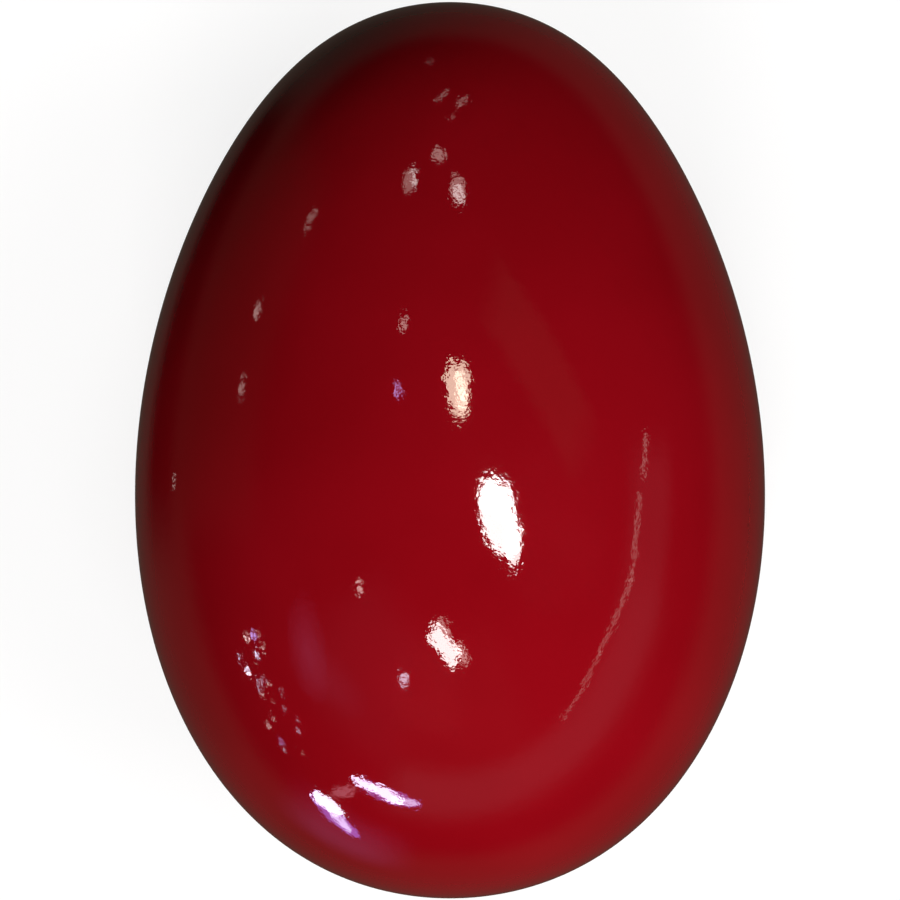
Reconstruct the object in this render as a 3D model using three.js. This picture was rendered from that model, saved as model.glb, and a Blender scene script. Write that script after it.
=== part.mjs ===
// Egg shaker: two moulded half-shells joined round the widest section, with loose steel shot inside.
// Millimetres. The long axis is Y, narrow end at +Y. Z is up, and the egg lies on its side on z = 0,
// so the origin is under the middle of its length.

import * as THREE from 'three';

// Outline
const LENGTH = 60; // tip to tip
const BREADTH = 42.2; // across the widest section
const SKEW = 3; // the widest section is this far from mid-length, towards the blunt end
const FULL_ENDS = 0.06; // half a length from the widest section, this much fuller than the plain egg curve
const FULL_POWER = 6; // which grows with this power of the distance from the widest section
const WALL = 2; // constant, measured square to the skin
const AXIS_HEIGHT = BREADTH / 2;

// Lap joint: the narrow shell's inner lip sits in a rebate inside the blunt shell's rim
const SEAM = -SKEW; // the shells part at the widest section, so that each leaves its mould
const SEAM_GAP = 0.3; // between the two rims' end faces
const LAND = 2; // each rim's outside is straight for this far, and the egg lies on that band
const LIP_LENGTH = 2.4;
const LIP_GAP = 0.3; // glue space outside and beyond the lip
const LIP_THICKNESS = (WALL - LIP_GAP) / 2;
const LEAD_IN = 0.4; // chamfer that guides the lip in
const CAVITY_RADIUS = BREADTH / 2 - WALL;

// Shot
const SHOT_DIAMETER = 4;
const SHOT_CLEARANCE = 0.15; // between a resting ball and the wall
const LANE_PITCH = 4.35; // centre to centre: every ball rises and falls in a lane of its own
const POOL_LENGTH = 37; // the shot covers an oval of the cavity floor, measured between centres
const POOL_WIDTH = 28;
const POOL_CENTRE = SEAM - 2.2; // a little towards the blunt end, so that the egg balances level

// Facets
const SEGMENTS = 48; // round the long axis
const SKIN_STEPS = 10; // along each shell's outside and inside
const LIP_STEPS = 2;
const SHOT_DETAIL = 1;
const FACET_SCALE = 1 / Math.cos(Math.PI / SEGMENTS); // flat facets just touch the round surface

const SHELL_MATERIAL = { color: 0x8a0a18, roughness: 0.08, metalness: 0 };
const SHOT_MATERIAL = { color: 0xb4b6b8, roughness: 0.25, metalness: 1 };

// Huegelschaeffer's egg curve with fuller ends: the outer radius at a station along the axis, and the
// outward normal as (radial, axial).
function skin(station) {
  const inside = LENGTH ** 2 - 4 * station ** 2;
  const stretch = LENGTH ** 2 + 8 * SKEW * station + 4 * SKEW ** 2;
  const along = (station - SEAM) / (LENGTH / 2);
  const fullness = 1 + FULL_ENDS * along ** FULL_POWER;
  const growth = FULL_POWER * FULL_ENDS * along ** (FULL_POWER - 1) / (LENGTH / 2);
  const radius = BREADTH / 2 * Math.sqrt(inside / stretch) * fullness;
  const fall = 4 * (station * stretch + SKEW * inside) / stretch ** 2 * fullness;
  const axial = (BREADTH / 2) ** 2 * fullness * (fall - inside / stretch * growth);
  return { radius, normal: new THREE.Vector2(radius, axial).normalize() };
}

// Radius, at axial position y, of the surface that lies this deep under the skin. Halving the
// interval finds the skin station whose normal passes through that point.
function radiusUnderSkin(depth, y) {
  let low = -LENGTH / 2;
  let high = LENGTH / 2;
  while (high - low > 1e-9) {
    const middle = (low + high) / 2;
    if (middle - depth * skin(middle).normal.y < y) low = middle;
    else high = middle;
  }
  const { radius, normal } = skin((low + high) / 2);
  return radius - depth * normal.x;
}

// Points (radius, y) of that surface between two axial positions, closer together towards a tip.
function wallCurve(depth, from, to, steps) {
  const tip = LENGTH / 2 - depth;
  const start = Math.acos(from / tip);
  const end = Math.acos(to / tip);
  const points = [];
  for (let i = 0; i <= steps; i++) {
    const y = tip * Math.cos(THREE.MathUtils.lerp(start, end, i / steps));
    const onAxis = tip - Math.abs(y) < 1e-9;
    points.push(new THREE.Vector2(onAxis ? 0 : radiusUnderSkin(depth, y), y));
  }
  return points;
}

// A body turned round Y. The profile runs from the lower axis point to the upper one along the
// outside, so its faces point out.
function turned(profile) {
  const points = profile.map((p) => new THREE.Vector2(p.x * FACET_SCALE, p.y));
  return new THREE.LatheGeometry(points, SEGMENTS, Math.PI / SEGMENTS);
}

function bluntShell() {
  const rim = SEAM - SEAM_GAP / 2;
  const ledge = SEAM - LIP_LENGTH - LIP_GAP;
  const rebate = CAVITY_RADIUS + LIP_THICKNESS + LIP_GAP;
  return turned([
    ...wallCurve(0, -LENGTH / 2, SEAM - 2 * LAND, SKIN_STEPS),
    new THREE.Vector2(BREADTH / 2, SEAM - LAND),
    new THREE.Vector2(BREADTH / 2, rim),
    new THREE.Vector2(rebate, rim),
    new THREE.Vector2(rebate, ledge),
    ...wallCurve(WALL, ledge, WALL - LENGTH / 2, SKIN_STEPS),
  ]);
}

function narrowShell() {
  const rim = SEAM + SEAM_GAP / 2;
  const lipEnd = SEAM - LIP_LENGTH;
  const lip = CAVITY_RADIUS + LIP_THICKNESS;
  return turned([
    ...wallCurve(WALL, LENGTH / 2 - WALL, rim, SKIN_STEPS),
    ...wallCurve(WALL, rim, lipEnd, LIP_STEPS).slice(1),
    new THREE.Vector2(lip - LEAD_IN, lipEnd),
    new THREE.Vector2(lip, lipEnd + LEAD_IN),
    new THREE.Vector2(lip, rim),
    new THREE.Vector2(BREADTH / 2, rim),
    new THREE.Vector2(BREADTH / 2, SEAM + LAND),
    ...wallCurve(0, SEAM + 2 * LAND, LENGTH / 2, SKIN_STEPS),
  ]);
}

// Resting places of the shot: close-packed lanes, seen from above, over the low part of the floor.
function shotPlaces() {
  const depth = WALL + SHOT_CLEARANCE + SHOT_DIAMETER / 2;
  const rowPitch = LANE_PITCH * Math.sqrt(3) / 2;
  const reach = Math.ceil(LENGTH / LANE_PITCH / 2);
  const places = [];
  for (let row = -reach; row <= reach; row++) {
    for (let lane = -reach; lane <= reach; lane++) {
      const x = row * rowPitch;
      const along = (lane + (row % 2 ? 0.5 : 0)) * LANE_PITCH;
      if (Math.hypot(x / POOL_WIDTH, along / POOL_LENGTH) > 0.5) continue;
      const y = POOL_CENTRE + along;
      places.push(new THREE.Vector3(x, y, -Math.sqrt(radiusUnderSkin(depth, y) ** 2 - x ** 2)));
    }
  }
  return places;
}

function piece(name, geometry, material) {
  const mesh = new THREE.Mesh(geometry, new THREE.MeshStandardMaterial(material));
  mesh.name = name;
  return mesh;
}

const shaker = new THREE.Group();
shaker.position.z = AXIS_HEIGHT;
shaker.add(piece('blunt_shell', bluntShell(), SHELL_MATERIAL));
shaker.add(piece('narrow_shell', narrowShell(), SHELL_MATERIAL));

shotPlaces().forEach((place, index) => {
  const name = `shot_${String(index + 1).padStart(2, '0')}`;
  const ball = piece(name, new THREE.IcosahedronGeometry(SHOT_DIAMETER / 2, SHOT_DETAIL), SHOT_MATERIAL);
  ball.position.copy(place);
  shaker.add(ball);
});

export default shaker;
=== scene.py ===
"""The looks of the egg shaker: two glossy moulded half-shells with loose steel shot inside.

Metres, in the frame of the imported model: the long axis is Y with the narrow end at +Y, Z is up,
and the egg lies on its side on z = 0.
"""

import math
import random

import bpy
import numpy as np
from mathutils import Euler, Matrix, Vector, noise


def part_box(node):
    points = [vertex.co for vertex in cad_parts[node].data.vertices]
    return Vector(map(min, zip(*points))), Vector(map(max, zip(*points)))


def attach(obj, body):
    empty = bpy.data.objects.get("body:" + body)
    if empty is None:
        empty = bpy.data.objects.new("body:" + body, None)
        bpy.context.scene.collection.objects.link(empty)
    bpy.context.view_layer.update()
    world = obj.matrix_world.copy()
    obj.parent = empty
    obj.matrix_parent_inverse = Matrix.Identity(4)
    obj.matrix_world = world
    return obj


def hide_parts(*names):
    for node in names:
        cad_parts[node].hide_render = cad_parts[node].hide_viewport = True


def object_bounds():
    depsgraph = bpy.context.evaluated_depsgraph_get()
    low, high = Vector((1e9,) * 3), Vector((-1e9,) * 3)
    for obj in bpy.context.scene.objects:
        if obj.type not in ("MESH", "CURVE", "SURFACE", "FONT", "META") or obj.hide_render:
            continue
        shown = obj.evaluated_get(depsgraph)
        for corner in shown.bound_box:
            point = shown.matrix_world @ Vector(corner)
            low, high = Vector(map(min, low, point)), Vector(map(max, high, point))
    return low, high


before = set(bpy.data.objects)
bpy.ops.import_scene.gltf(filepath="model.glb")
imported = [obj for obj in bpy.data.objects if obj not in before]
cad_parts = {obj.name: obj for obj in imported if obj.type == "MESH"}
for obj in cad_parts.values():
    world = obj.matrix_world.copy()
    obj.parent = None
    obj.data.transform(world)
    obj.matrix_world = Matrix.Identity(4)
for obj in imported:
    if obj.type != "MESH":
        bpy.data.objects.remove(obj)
cad_low, cad_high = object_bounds()

MM = 0.001

# The egg, from the frame
LENGTH = cad_high.y - cad_low.y
BREADTH = cad_high.x - cad_low.x
AXIS_HEIGHT = BREADTH / 2
CENTRE = Vector((0, 0, AXIS_HEIGHT))
FRAME_SEAM_GAP = 0.3 * MM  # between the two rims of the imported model
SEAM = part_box("blunt_shell")[1].y + FRAME_SEAM_GAP / 2
LIP_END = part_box("narrow_shell")[0].y
SKEW = -SEAM
FULL_ENDS = 0.06  # half a length from the widest section, this much fuller than the plain egg curve
FULL_POWER = 6  # which grows with this power of the distance from the widest section
WALL = 2 * MM

# The joint, finer than the frame's: the rims meet flush and glue fills the rest
GLUE_LINE = 0.08 * MM
LIP_THICKNESS = (WALL - GLUE_LINE) / 2
LEAD_IN = 0.35 * MM  # chamfer on the lip's outer edge
EDGE_BREAK = 0.06 * MM  # chamfer on the other edges
CAVITY_RADIUS = AXIS_HEIGHT - WALL

# Mesh fineness
AROUND = 192  # round the long axis
SKIN_ROWS = 96  # along each shell's outside
INNER_ROWS = 56
RIM_ROW = 0.03 * MM  # a row this close to the seam keeps the shading true up to it
SHARP = math.radians(25)  # edges that turn more than this are shaded sharp
HALVINGS = 50  # of the search for a point under the skin
TINY = 1e-9


# ---------------------------------------------------------------- shells


def skin(station):
    """Huegelschaeffer's egg curve with fuller ends: outer radius and outward normal (radial, axial)
    at stations along the axis."""
    inside = LENGTH**2 - 4 * station**2
    stretch = LENGTH**2 + 8 * SKEW * station + 4 * SKEW**2
    along = (station - SEAM) / (LENGTH / 2)
    fullness = 1 + FULL_ENDS * along**FULL_POWER
    growth = FULL_POWER * FULL_ENDS * along ** (FULL_POWER - 1) / (LENGTH / 2)
    radius = BREADTH / 2 * np.sqrt(np.maximum(inside, 0) / stretch) * fullness
    fall = 4 * (station * stretch + SKEW * inside) / stretch**2 * fullness
    axial = (BREADTH / 2) ** 2 * fullness * (fall - inside / stretch * growth)
    size = np.hypot(radius, axial)
    return radius, radius / size, axial / size


def radius_under_skin(depth, y):
    """Radius at axial positions y of the surface that lies this deep under the skin."""
    low = np.full(len(y), -LENGTH / 2)
    high = np.full(len(y), LENGTH / 2)
    for _ in range(HALVINGS):
        middle = (low + high) / 2
        before = middle - depth * skin(middle)[2] < y
        low = np.where(before, middle, low)
        high = np.where(before, high, middle)
    radius, radial, _ = skin((low + high) / 2)
    return radius - depth * radial


def wall_curve(depth, start, end, rows):
    """Points (radius, y) of that surface between two axial positions, closer together at a tip."""
    tip = LENGTH / 2 - depth
    angles = np.linspace(math.acos(start / tip), math.acos(end / tip), rows + 1)
    y = tip * np.cos(angles)
    radius = radius_under_skin(depth, y)
    radius[np.abs(np.abs(y) - tip) < TINY] = 0
    return list(zip(radius, y))


def turned(name, profile, inner_from, inner_to, materials):
    """A closed body turned round the long axis. The profile starts and ends on the axis, and its
    stretches from inner_from to inner_to take the second material."""
    angles = np.arange(AROUND) * math.tau / AROUND
    points, rings = [], []
    for radius, y in profile:
        first = len(points)
        if radius == 0:
            points.append((0, y, AXIS_HEIGHT))
            rings.append([first] * AROUND)
            continue
        points += [(radius * math.sin(a), y, AXIS_HEIGHT + radius * math.cos(a)) for a in angles]
        rings.append(list(range(first, first + AROUND)))
    faces, slots = [], []
    for row, (ring, following) in enumerate(zip(rings, rings[1:])):
        for i in range(AROUND):
            j = (i + 1) % AROUND
            corners = [ring[i], ring[j], following[j], following[i]]
            faces.append(list(dict.fromkeys(corners)))
            slots.append(int(inner_from <= row < inner_to))
    mesh = bpy.data.meshes.new(name)
    mesh.from_pydata(points, [], faces)
    for material in materials:
        mesh.materials.append(material)
    mesh.polygons.foreach_set("material_index", slots)
    mesh.polygons.foreach_set("use_smooth", [True] * len(faces))
    mesh.set_sharp_from_angle(angle=SHARP)
    mesh.update()
    shell = bpy.data.objects.new(name, mesh)
    bpy.context.scene.collection.objects.link(shell)
    return shell


def blunt_shell(materials):
    """The half-shell at the blunt end, with the rebate inside its rim."""
    rebate = CAVITY_RADIUS + LIP_THICKNESS + GLUE_LINE
    ledge = LIP_END - GLUE_LINE
    outside = wall_curve(0, -LENGTH / 2, SEAM - RIM_ROW, SKIN_ROWS) + [(AXIS_HEIGHT, SEAM)]
    joint = [
        (rebate + EDGE_BREAK, SEAM),
        (rebate, SEAM - EDGE_BREAK),
        (rebate, ledge),
    ]
    inside = wall_curve(WALL, ledge, WALL - LENGTH / 2, INNER_ROWS)
    profile = outside + joint + inside
    return turned("visual_blunt_shell", profile, len(outside) - 1, len(profile), materials)


def narrow_shell(materials):
    """The half-shell at the narrow end, with the lip that goes into the rebate."""
    lip = CAVITY_RADIUS + LIP_THICKNESS
    inside = wall_curve(WALL, LENGTH / 2 - WALL, LIP_END + EDGE_BREAK, INNER_ROWS)
    joint = [
        (inside[-1][0] + EDGE_BREAK, LIP_END),
        (lip - LEAD_IN, LIP_END),
        (lip, LIP_END + LEAD_IN),
        (lip, SEAM),
    ]
    outside = [(AXIS_HEIGHT, SEAM)] + wall_curve(0, SEAM + RIM_ROW, LENGTH / 2, SKIN_ROWS)
    profile = inside + joint + outside
    return turned("visual_narrow_shell", profile, 0, len(inside) + len(joint), materials)


# ---------------------------------------------------------------- shot

BALL_SEGMENTS = 32
BALL_ROWS = 16
BALL_DENT = 0.025 * MM  # depth of the deepest dents
DENT_DENSITY = 2.5  # how closely the dents lie: noise features in one radius
POLE_FLAT = 0.985  # the flats at the poles lie this share of a radius from the centre
BALL_TURN = Vector((0.9, 1.7, 0.4))  # radians that each ball is turned further than the last
SHOT_SEED = 7


def ball_shape(index, radius):
    """A steel ball as it is sold for shakers: nearly round, with a faint flat at each pole from
    its making and shallow dents, each ball with its own. It stays inside the true sphere."""
    turn = Euler(BALL_TURN * index).to_matrix()
    offset = Vector((SHOT_SEED, index, 0))
    points = []
    for row in range(BALL_ROWS + 1):
        polar = math.pi * row / BALL_ROWS
        count = 1 if row in (0, BALL_ROWS) else BALL_SEGMENTS
        for i in range(count):
            around = math.tau * i / BALL_SEGMENTS
            across = math.sin(polar)
            way = Vector((across * math.cos(around), across * math.sin(around), math.cos(polar)))
            dent = BALL_DENT * max(0.0, noise.noise(way * DENT_DENSITY + offset))
            reach = min(radius - dent, POLE_FLAT * radius / max(abs(way.z), TINY))
            points.append(turn @ (way * reach))
    return points


def ball_faces():
    """Rows of four-sided faces between a fan of triangles at each pole."""
    faces = []
    last = 1 + (BALL_ROWS - 1) * BALL_SEGMENTS
    for i in range(BALL_SEGMENTS):
        j = (i + 1) % BALL_SEGMENTS
        faces.append((0, 1 + i, 1 + j))
        for row in range(BALL_ROWS - 2):
            a = 1 + row * BALL_SEGMENTS
            b = a + BALL_SEGMENTS
            faces.append((a + i, b + i, b + j, a + j))
        a = last - BALL_SEGMENTS
        faces.append((a + i, last, a + j))
    return faces


def shot_ball(node, index, material):
    """The ball that takes the place of this node's plain one."""
    low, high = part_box(node)
    place = (low + high) / 2
    radius = (high.z - low.z) / 2
    mesh = bpy.data.meshes.new("visual_" + node)
    mesh.from_pydata([place + p for p in ball_shape(index, radius)], [], ball_faces())
    mesh.materials.append(material)
    mesh.polygons.foreach_set("use_smooth", [True] * len(mesh.polygons))
    mesh.update()
    ball = bpy.data.objects.new("visual_" + node, mesh)
    bpy.context.scene.collection.objects.link(ball)
    return ball


# ---------------------------------------------------------------- materials


NOISE_LOW, NOISE_HIGH = 0.3, 0.7


class Nodes:
    """A node material under construction."""

    def __init__(self, name):
        self.material = bpy.data.materials.new(name)
        self.material.use_nodes = True
        self.tree = self.material.node_tree
        self.tree.nodes.clear()
        self.output = self.add("ShaderNodeOutputMaterial")
        self.coordinates = self.add("ShaderNodeTexCoord").outputs["Object"]

    def add(self, kind, **values):
        """A node of this kind. A value goes to the input of its name, or else to the setting."""
        node = self.tree.nodes.new(kind)
        for key, value in values.items():
            if key in node.inputs:
                node.inputs[key].default_value = value
            else:
                setattr(node, key, value)
        return node

    def link(self, source, target):
        self.tree.links.new(source, target)

    def noise(self, wavelength, detail=2.0, roughness=0.5):
        """Noise whose features are about a wavelength across, from 0 to 1."""
        scale = 1 / wavelength
        node = self.add("ShaderNodeTexNoise", Scale=scale, Detail=detail, Roughness=roughness)
        self.link(self.coordinates, node.inputs["Vector"])
        return node.outputs[0]

    def ramp(self, source, *stops):
        """A colour ramp with stops of (position, colour)."""
        node = self.add("ShaderNodeValToRGB")
        elements = node.color_ramp.elements
        for _ in stops[2:]:
            elements.new(0.5)
        for element, (position, colour) in zip(elements, stops):
            element.position = position
            element.color = colour
        self.link(source, node.inputs["Fac"])
        return node.outputs["Color"]

    def mottle(self, source, dark, light):
        """Blends two colours where noise passes the middle of its range."""
        return self.ramp(source, (0.35, dark), (0.65, light))

    def spread(self, source, low, high):
        """Maps the range that noise seldom leaves to a range of numbers."""
        node = self.add("ShaderNodeMapRange")
        node.inputs["From Min"].default_value = NOISE_LOW
        node.inputs["From Max"].default_value = NOISE_HIGH
        node.inputs["To Min"].default_value = low
        node.inputs["To Max"].default_value = high
        self.link(source, node.inputs["Value"])
        return node.outputs["Result"]

    def bump(self, height, depth, under=None):
        """Relief of this depth, on top of any relief under it."""
        node = self.add("ShaderNodeBump", Strength=1.0, Distance=depth)
        self.link(height, node.inputs["Height"])
        if under is not None:
            self.link(under, node.inputs["Normal"])
        return node.outputs["Normal"]

    def surface(self, **values):
        """Finishes the material. Its values are numbers, colours or other nodes' outputs."""
        shader = self.add("ShaderNodeBsdfPrincipled")
        for key, value in values.items():
            socket = shader.inputs[key.replace("_", " ")]
            if isinstance(value, bpy.types.NodeSocket):
                self.link(value, socket)
            else:
                socket.default_value = value
        self.link(shader.outputs["BSDF"], self.output.inputs["Surface"])
        return self.material


RED = (0.285, 0.0026, 0.0075, 1)
RED_DEEP = (0.255, 0.0020, 0.0060, 1)
STEEL_BRIGHT = (0.62, 0.62, 0.63, 1)
STEEL_DULL = (0.46, 0.46, 0.47, 1)

# Plastic outside and inside: wavelength and depth of each kind of unevenness
MOTTLE = 14 * MM
HANDLING = 5 * MM
WAVES, WAVE_DEPTH = 5 * MM, 0.02 * MM
PEEL, PEEL_DEPTH = 0.8 * MM, 0.011 * MM
INNER_MOTTLE = 3 * MM
INNER_SHEEN = 2 * MM
GRAIN, GRAIN_DEPTH = 0.25 * MM, 0.012 * MM

# Steel shot
RUBBED = 0.9 * MM
SCUFF, SCUFF_DEPTH = 0.3 * MM, 0.006 * MM


def gloss_red():
    """The shells' outside: coloured plastic with a hard gloss over a faint orange peel."""
    nodes = Nodes("gloss_red_plastic")
    colour = nodes.mottle(nodes.noise(MOTTLE, detail=3), RED_DEEP, RED)
    handling = nodes.noise(HANDLING, detail=5, roughness=0.6)
    waves = nodes.bump(nodes.noise(WAVES, detail=1), WAVE_DEPTH)
    peel = nodes.bump(nodes.noise(PEEL, detail=3, roughness=0.6), PEEL_DEPTH, waves)
    return nodes.surface(
        Base_Color=colour,
        Roughness=nodes.spread(handling, 0.02, 0.05),
        IOR=1.59,
        Normal=peel,
    )


def moulded_inside():
    """The shells' inside and joint: the same plastic, dull as the mould's core leaves it."""
    nodes = Nodes("moulded_red_plastic")
    colour = nodes.mottle(nodes.noise(INNER_MOTTLE, detail=4), RED_DEEP, RED)
    grain = nodes.noise(GRAIN, detail=3)
    return nodes.surface(
        Base_Color=colour,
        Roughness=nodes.spread(nodes.noise(INNER_SHEEN, detail=3), 0.38, 0.5),
        IOR=1.5,
        Normal=nodes.bump(grain, GRAIN_DEPTH),
    )


def steel():
    """The shot: bright steel, dulled in patches where the balls rub each other."""
    nodes = Nodes("shot_steel")
    rubbed = nodes.noise(RUBBED, detail=4, roughness=0.6)
    return nodes.surface(
        Base_Color=nodes.mottle(rubbed, STEEL_DULL, STEEL_BRIGHT),
        Metallic=1.0,
        Roughness=nodes.spread(rubbed, 0.34, 0.16),
        Normal=nodes.bump(nodes.noise(SCUFF, detail=3), SCUFF_DEPTH),
    )


BACKDROP = (1, 1, 1)
FLOOR_NEAR, FLOOR_FAR = 0.06, 0.30  # the floor turns into the backdrop between these distances
FLOOR_OPEN = (0.86, 0.86, 0.86, 1)
FLOOR_PAINTED_SHADOW = (0.25, 0.24, 0.24, 1)
FLOOR_PAINT = (0.2, 0.2, 0.2, 1)
CONTACT_REACH = 0.03  # how far the painted contact shadow looks for what stands on the floor


def pale_floor():
    """A pale floor that shades off into the backdrop, with a soft shadow painted where the egg
    touches.
    """
    nodes = Nodes("pale_floor")
    away = nodes.add("ShaderNodeVectorMath", operation="LENGTH")
    nodes.link(nodes.coordinates, away.inputs[0])
    far = nodes.add("ShaderNodeMapRange", interpolation_type="SMOOTHSTEP")
    far.inputs["From Min"].default_value = FLOOR_NEAR
    far.inputs["From Max"].default_value = FLOOR_FAR
    nodes.link(away.outputs["Value"], far.inputs["Value"])
    # Painted contact shadow: ambient occlusion darkens the floor's glow near the egg, over the
    # faint real shadow on its matt part
    contact = nodes.add("ShaderNodeAmbientOcclusion", samples=8)
    contact.inputs["Distance"].default_value = CONTACT_REACH
    glow_with_painted_shadow = nodes.ramp(contact.outputs["AO"], (0.1, FLOOR_PAINTED_SHADOW), (0.65, FLOOR_OPEN))
    glow = nodes.add("ShaderNodeMixRGB")
    nodes.link(far.outputs["Result"], glow.inputs["Fac"])
    nodes.link(glow_with_painted_shadow, glow.inputs["Color1"])
    glow.inputs["Color2"].default_value = (*BACKDROP, 1)
    paint = nodes.ramp(far.outputs["Result"], (0, FLOOR_PAINT), (1, (0, 0, 0, 1)))
    return nodes.surface(
        Base_Color=paint,
        Roughness=0.9,
        Specular_IOR_Level=0.0,
        Emission_Color=glow.outputs["Color"],
        Emission_Strength=1.0,
    )


# ---------------------------------------------------------------- build

shell_materials = [gloss_red(), moulded_inside()]
for build, node in ((blunt_shell, "blunt_shell"), (narrow_shell, "narrow_shell")):
    shell = build(shell_materials)
    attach(shell, "shell")
    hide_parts(node)

shot_steel = steel()
shot_nodes = sorted(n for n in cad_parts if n.startswith("shot_"))
for index, node in enumerate(shot_nodes):
    ball = shot_ball(node, index, shot_steel)
    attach(ball, node)
    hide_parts(node)


# ---------------------------------------------------------------- studio


def direction(azimuth, elevation):
    """Unit vector. Azimuth runs clockwise from +Y seen from above, in degrees."""
    a, e = math.radians(azimuth), math.radians(elevation)
    return Vector((math.sin(a) * math.cos(e), math.cos(a) * math.cos(e), math.sin(e)))


LAMP_DISTANCE = 3.0
LAYER_STEP = 0.01  # each layer of lamps is this much farther away than the one before it


def lamp(
    name, start, end, thickness, radiance, colour, rounded=False, mirrored=True, scale=1.0, layer=0
):
    """A light that spans two directions (azimuth, elevation), this many degrees thick and this
    bright. Mirrored lamps are seen only in gloss, and the others light only matt surfaces."""
    first, last = direction(*start), direction(*end)
    middle = (first + last).normalized()
    distance = LAMP_DISTANCE * (1 + LAYER_STEP * layer)
    breadth = 2 * distance * math.tan(math.radians(thickness) / 2) * scale
    length = breadth + distance * (last - first).length * scale
    data = bpy.data.lights.new(name, "AREA")
    data.shape = "ELLIPSE" if rounded else "RECTANGLE"
    data.size, data.size_y = length, breadth
    area = length * breadth * (math.pi / 4 if rounded else 1)
    data.energy = radiance * math.pi * area
    data.color = colour
    light = bpy.data.objects.new(name, data)
    across = last - first if start != end else Vector((1, 0, 0))
    x = (across - middle * across.dot(middle)).normalized()
    turn = Matrix((x, middle.cross(x), middle)).transposed()
    light.matrix_world = Matrix.Translation(CENTRE + middle * distance) @ turn.to_4x4()
    light.visible_camera = False
    light.visible_glossy = mirrored
    light.visible_diffuse = not mirrored
    bpy.context.scene.collection.objects.link(light)


LAYERS = 5


def soft_panel(name, start, end, thickness, radiance, colour, rounded=True, spread=0.8):
    """A patch of light with a soft edge: panels inside one another, each with its share."""
    share = radiance / LAYERS
    for layer in range(LAYERS):
        scale = 1 + spread * (layer / (LAYERS - 1) - 0.5)
        part = f"{name}_{layer}"
        lamp(part, start, end, thickness, share, colour, rounded, scale=scale, layer=layer)


def soft_box(name, place, size, radiance):
    """A square light for matt surfaces."""
    lamp(name, place, place, size, radiance, WHITE, mirrored=False)


WHITE = (1.0, 0.97, 0.95)
CREAM = (1.0, 0.84, 0.66)
ROSE = (1.0, 0.72, 0.68)
DAYLIGHT = (0.80, 0.78, 1.0)
VIOLET = (0.55, 0.42, 1.0)
BLUE_VIOLET = (0.42, 0.22, 1.0)
RUST = (1.0, 0.72, 0.55)
BLUSH = (1.0, 0.42, 0.55)
MAUVE = (0.72, 0.34, 0.85)
ORCHID = (0.75, 0.45, 1.0)

# What the gloss mirrors: name, the two directions, thickness, radiance, colour, rounded
CEILING_LAMPS = [
    ("key_lamp", (98, 75), (110, 69), 10.5, 20, WHITE, True),
    ("key_lamp_top", (92, 76), (94, 70), 6, 20, WHITE, True),
    ("key_lamp_end", (106, 67), (116, 65), 6, 16, WHITE, True),
    ("near_lamp", (-171, 60.5), (179, 57), 5, 18, WHITE, False),
    ("near_lamp_shade", (-172, 64), (-178, 62), 2.5, 5, ROSE, True),
    ("near_lamp_edge", (175, 59), (171, 55), 2, 6, ROSE, True),
    ("warm_lamp", (3, 70), (11, 73), 6, 11, CREAM, True),
    ("warm_lamp_side", (13, 69), (15, 71), 4.5, 11, CREAM, True),
    ("warm_lamp_end", (14, 73), (17, 73.5), 3, 6, CREAM, True),
    ("far_lamp_left", (-17, 32), (-17, 32), 4.6, 2.4, ROSE, True),
    ("far_lamp_left_bulb", (-15, 31), (-15, 33), 1.7, 6, WHITE, True),
    ("far_lamp_right", (3, 36), (4, 37), 4.6, 3.2, ROSE, True),
    ("far_lamp_right_bulb", (3, 37), (5, 38), 2.0, 6, WHITE, True),
    ("far_lamp_middle", (-5, 29), (-4, 29), 3.2, 3.5, ROSE, True),
    ("small_lamp_1", (-30, 56), (-30, 56), 2.1, 5, ROSE, True),
    ("small_lamp_2", (-46, 64), (-46, 64), 2.2, 9, VIOLET, True),
    ("small_lamp_3", (-120, 53), (-120, 53), 2.1, 9, ROSE, True),
    ("small_lamp_4", (-157, 47), (-157, 47), 2.9, 11, DAYLIGHT, True),
    ("wall_lamp_1", (-76, 6), (-76, 6), 2, 3.5, ROSE, True),
    ("wall_lamp_2", (-66, 5), (-66, 5), 2.2, 3.5, ROSE, True),
    ("wall_lamp_3", (-50, 12), (-48, 13), 1.6, 2, ROSE, True),
    ("wall_lamp_4", (-89, -28), (-89, -28), 0.9, 3, ROSE, True),
    ("far_streak_left", (-5, 14), (-1, 11), 0.9, 2.4, ROSE, True),
    ("far_streak_right", (2, 16), (6, 13), 1.0, 2.4, ROSE, True),
    ("far_streak_low", (1, 19), (1, 19), 1.6, 1.0, ROSE, True),
    ("far_streak_top", (-7, -3), (-6, -4), 2, 0.5, ROSE, True),
]
WINDOW = [
    ("window_top", (-153, 8), (-156, 8), 4, 18, DAYLIGHT, True),
    ("window_top_middle", (-159, 9), (-164, 8), 5, 18, DAYLIGHT, True),
    ("window_top_end", (-164, 8), (-170, 8), 2.5, 8, DAYLIGHT, True),
    ("window_side", (-147.5, -11), (-149.5, -11), 6.5, 16, DAYLIGHT, True),
    ("window_side_end", (-150, -13), (-155, -18), 3, 7, DAYLIGHT, True),
]
WINDOW_FRINGE = [  # seen round the window's bars, from behind them
    ("window_top_fringe", (-154, 8), (-169, 8), 6.5, 4, BLUE_VIOLET, True),
    ("window_side_fringe", (-147, -12), (-155, -18), 6.8, 4, BLUE_VIOLET, True),
]
for row in CEILING_LAMPS + WINDOW:
    lamp(*row)
for row in WINDOW_FRINGE:
    lamp(*row, layer=1)

# Picture rail along the wall: one thin bright line with a break near its start, and fading along
RAIL = [((82, 15), (87, 17)), ((91, 19), (105, 20)), ((105, 20), (121, 24)), ((121, 24), (139, 22))]
RAIL_THICKNESS = 1.1
for number, (start, end) in enumerate(RAIL):
    lamp(f"rail_{number}", start, end, RAIL_THICKNESS, 2.1 - 0.2 * number, ROSE)

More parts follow.
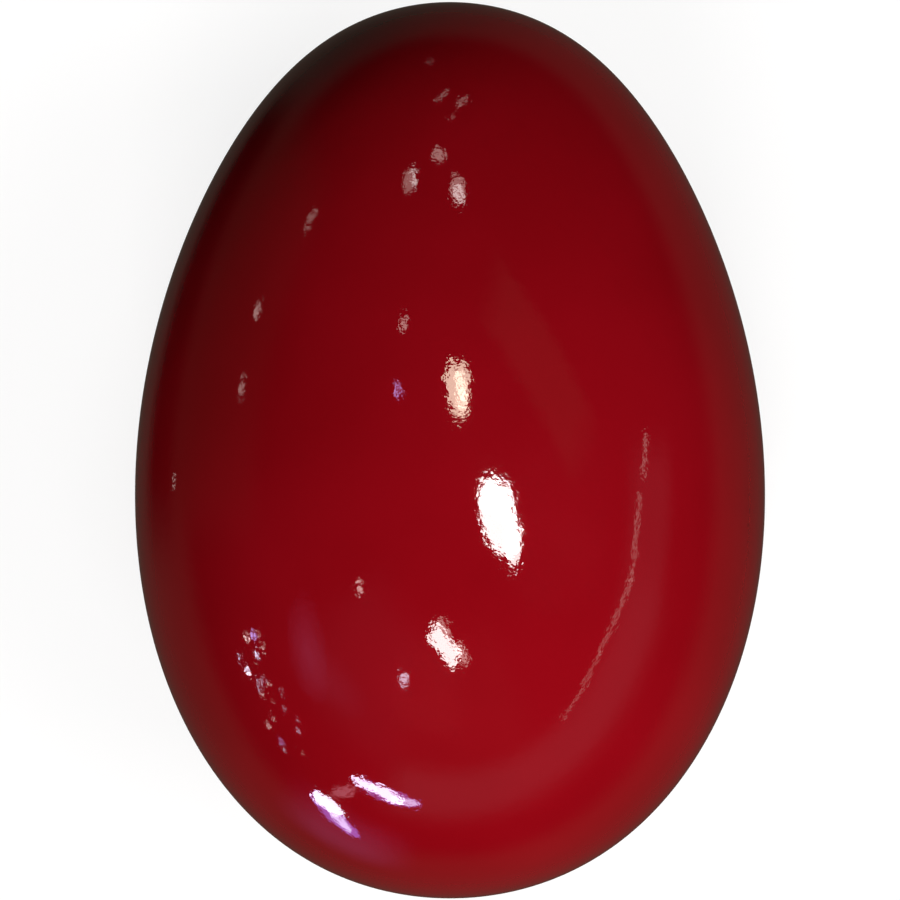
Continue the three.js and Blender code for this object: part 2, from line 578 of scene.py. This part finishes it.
# A string of small bulbs beside the window, farther apart and dimmer towards it
BULBS = 24
BULB_SEED = 5
bulbs = random.Random(BULB_SEED)
for number in range(BULBS):
    along = number / (BULBS - 1)
    azimuth = -113 - 24 * along**1.5 + bulbs.uniform(-2, 2)
    place = (azimuth, 3 - 2 * along + bulbs.uniform(-8, 8))
    size = bulbs.uniform(0.6, 1.2)
    radiance = bulbs.uniform(6, 28) * (1 - 0.5 * along)
    colour = bulbs.choice((ROSE, DAYLIGHT, VIOLET))
    lamp(f"bulb_{number}", place, place, size, radiance, colour, True)

# Dim soft-edged patches of the room: the window's corner, a board in the ceiling and a curtain
soft_panel("window_corner", (-149, -4), (-152, 3), 3, 2.4, BLUSH, spread=0.6)
soft_panel("board", (35, 52), (72, 45), 14, 0.08, RUST, rounded=False, spread=0.4)
soft_panel("curtain", (-120, 28), (-125, 25), 9, 0.42, MAUVE, spread=1.3)
soft_panel("curtain_fold", (-130, 28), (-137, 30), 9, 0.12, ORCHID, spread=1.2)

# Large soft boxes give the matt light, and weak ones what the walls and the floor send back
soft_box("soft_box_near", (-170, 47), 24, 13.5)
soft_box("soft_box_right", (100, 48), 30, 7.4)
soft_box("wall_bounce", (-85, -42), 45, 0.5)
soft_box("floor_bounce", (0, -90), 70, 0.35)


class Room:
    """The world as the egg sees it: dim soft-edged areas of a room, by direction."""

    def __init__(self, name):
        self.world = bpy.data.worlds.new(name)
        self.world.use_nodes = True
        self.tree = self.world.node_tree
        self.tree.nodes.clear()
        way = self.tree.nodes.new("ShaderNodeTexCoord").outputs["Generated"]
        split = self.tree.nodes.new("ShaderNodeSeparateXYZ")
        self.tree.links.new(way, split.inputs[0])
        x, y, z = split.outputs
        self.azimuth = self.math("ARCTAN2", x, y)
        self.elevation = self.math("ARCSINE", z)
        self.light = None

    def math(self, operation, *values):
        node = self.tree.nodes.new("ShaderNodeMath")
        node.operation = operation
        for socket, value in zip(node.inputs, values):
            if isinstance(value, bpy.types.NodeSocket):
                self.tree.links.new(value, socket)
            else:
                socket.default_value = value
        return node.outputs[0]

    def within(self, angle, low, high, soft):
        """1 between two angles in degrees, 0 outside, over a soft edge."""
        middle, half = math.radians((low + high) / 2), math.radians((high - low) / 2)
        off = self.math("WRAP", self.math("SUBTRACT", angle, middle), math.pi, -math.pi)
        node = self.tree.nodes.new("ShaderNodeMapRange")
        node.interpolation_type = "SMOOTHSTEP"
        node.inputs["From Min"].default_value = half + math.radians(soft) / 2
        node.inputs["From Max"].default_value = half - math.radians(soft) / 2
        self.tree.links.new(self.math("ABSOLUTE", off), node.inputs["Value"])
        return node.outputs["Result"]

    def area(self, azimuths, elevations, soft, colour):
        """Adds light of this colour between two azimuths (or all round) and two elevations."""
        mask = self.within(self.elevation, *elevations, soft)
        if azimuths:
            mask = self.math("MULTIPLY", mask, self.within(self.azimuth, *azimuths, soft))
        node = self.tree.nodes.new("ShaderNodeMixRGB")
        node.blend_type = "ADD"
        self.tree.links.new(mask, node.inputs["Fac"])
        if self.light is None:
            node.inputs["Color1"].default_value = (0, 0, 0, 1)
        else:
            self.tree.links.new(self.light, node.inputs["Color1"])
        node.inputs["Color2"].default_value = (*colour, 1)
        self.light = node.outputs["Color"]

    def finish(self, backdrop):
        """Makes it the scene's world. The camera itself sees a plain backdrop."""
        path = self.tree.nodes.new("ShaderNodeLightPath")
        mix = self.tree.nodes.new("ShaderNodeMixRGB")
        self.tree.links.new(path.outputs["Is Camera Ray"], mix.inputs["Fac"])
        self.tree.links.new(self.light, mix.inputs["Color1"])
        mix.inputs["Color2"].default_value = (*backdrop, 1)
        shader = self.tree.nodes.new("ShaderNodeBackground")
        self.tree.links.new(mix.outputs["Color"], shader.inputs["Color"])
        output = self.tree.nodes.new("ShaderNodeOutputWorld")
        self.tree.links.new(shader.outputs[0], output.inputs["Surface"])
        bpy.context.scene.world = self.world


DARK_WOOD = (0.054, 0.046, 0.036)
PALE_WALL = (0.10, 0.085, 0.105)
SHADED_WALL = (0.05, 0.045, 0.055)
BROWN_WALL = (0.034, 0.022, 0.014)
EVENING_SKY = (0.16, 0.10, 0.28)
COOL_CEILING = (0.04, 0.035, 0.05)
WARM_CEILING = (0.03, 0.022, 0.022)

# Azimuths, elevations, softness of the edge in degrees, colour
AREAS = [
    (None, (-120, -52), 16, DARK_WOOD),  # the table
    ((-45, 265), (-52, -20), 16, DARK_WOOD),  # its farther part, with a dark gap on the left
    ((84, 196), (5, 22), 10, PALE_WALL),  # on the right and nearest
    ((105, 200), (0, 20), 12, SHADED_WALL),
    ((-95, -45), (-30, 16), 12, BROWN_WALL),  # in the dark gap
    ((-166, -144), (-34, -12), 16, EVENING_SKY),  # under the window
    ((-160, -120), (20, 60), 16, COOL_CEILING),  # over the window
    ((150, 200), (15, 60), 16, WARM_CEILING),  # nearest
]
room = Room("studio")
for area in AREAS:
    room.area(*area)
room.finish(BACKDROP)

# The camera looks straight down, and the egg's length nearly fills its square picture
FRAME_MARGIN = 1.008
camera_data = bpy.data.cameras.new("camera")
camera_data.lens = 150
camera_data.sensor_width = 36
camera = bpy.data.objects.new("camera", camera_data)
distance = LENGTH * FRAME_MARGIN * camera_data.lens / camera_data.sensor_width
camera.location = CENTRE + Vector((0, 0, distance))
bpy.context.scene.collection.objects.link(camera)
bpy.context.scene.camera = camera
bpy.context.scene.view_settings.view_transform = "Standard"

FLOOR_REACH = 3.0
corners = [(-1, -1), (1, -1), (1, 1), (-1, 1)]
points = [(FLOOR_REACH * x, FLOOR_REACH * y, 0) for x, y in corners]
floor_mesh = bpy.data.meshes.new("floor")
floor_mesh.from_pydata(points, [], [(0, 1, 2, 3)])
floor = bpy.data.objects.new("floor", floor_mesh)
bpy.context.scene.collection.objects.link(floor)
floor_mesh.materials.append(pale_floor())
floor.visible_glossy = floor.visible_diffuse = floor.visible_shadow = False
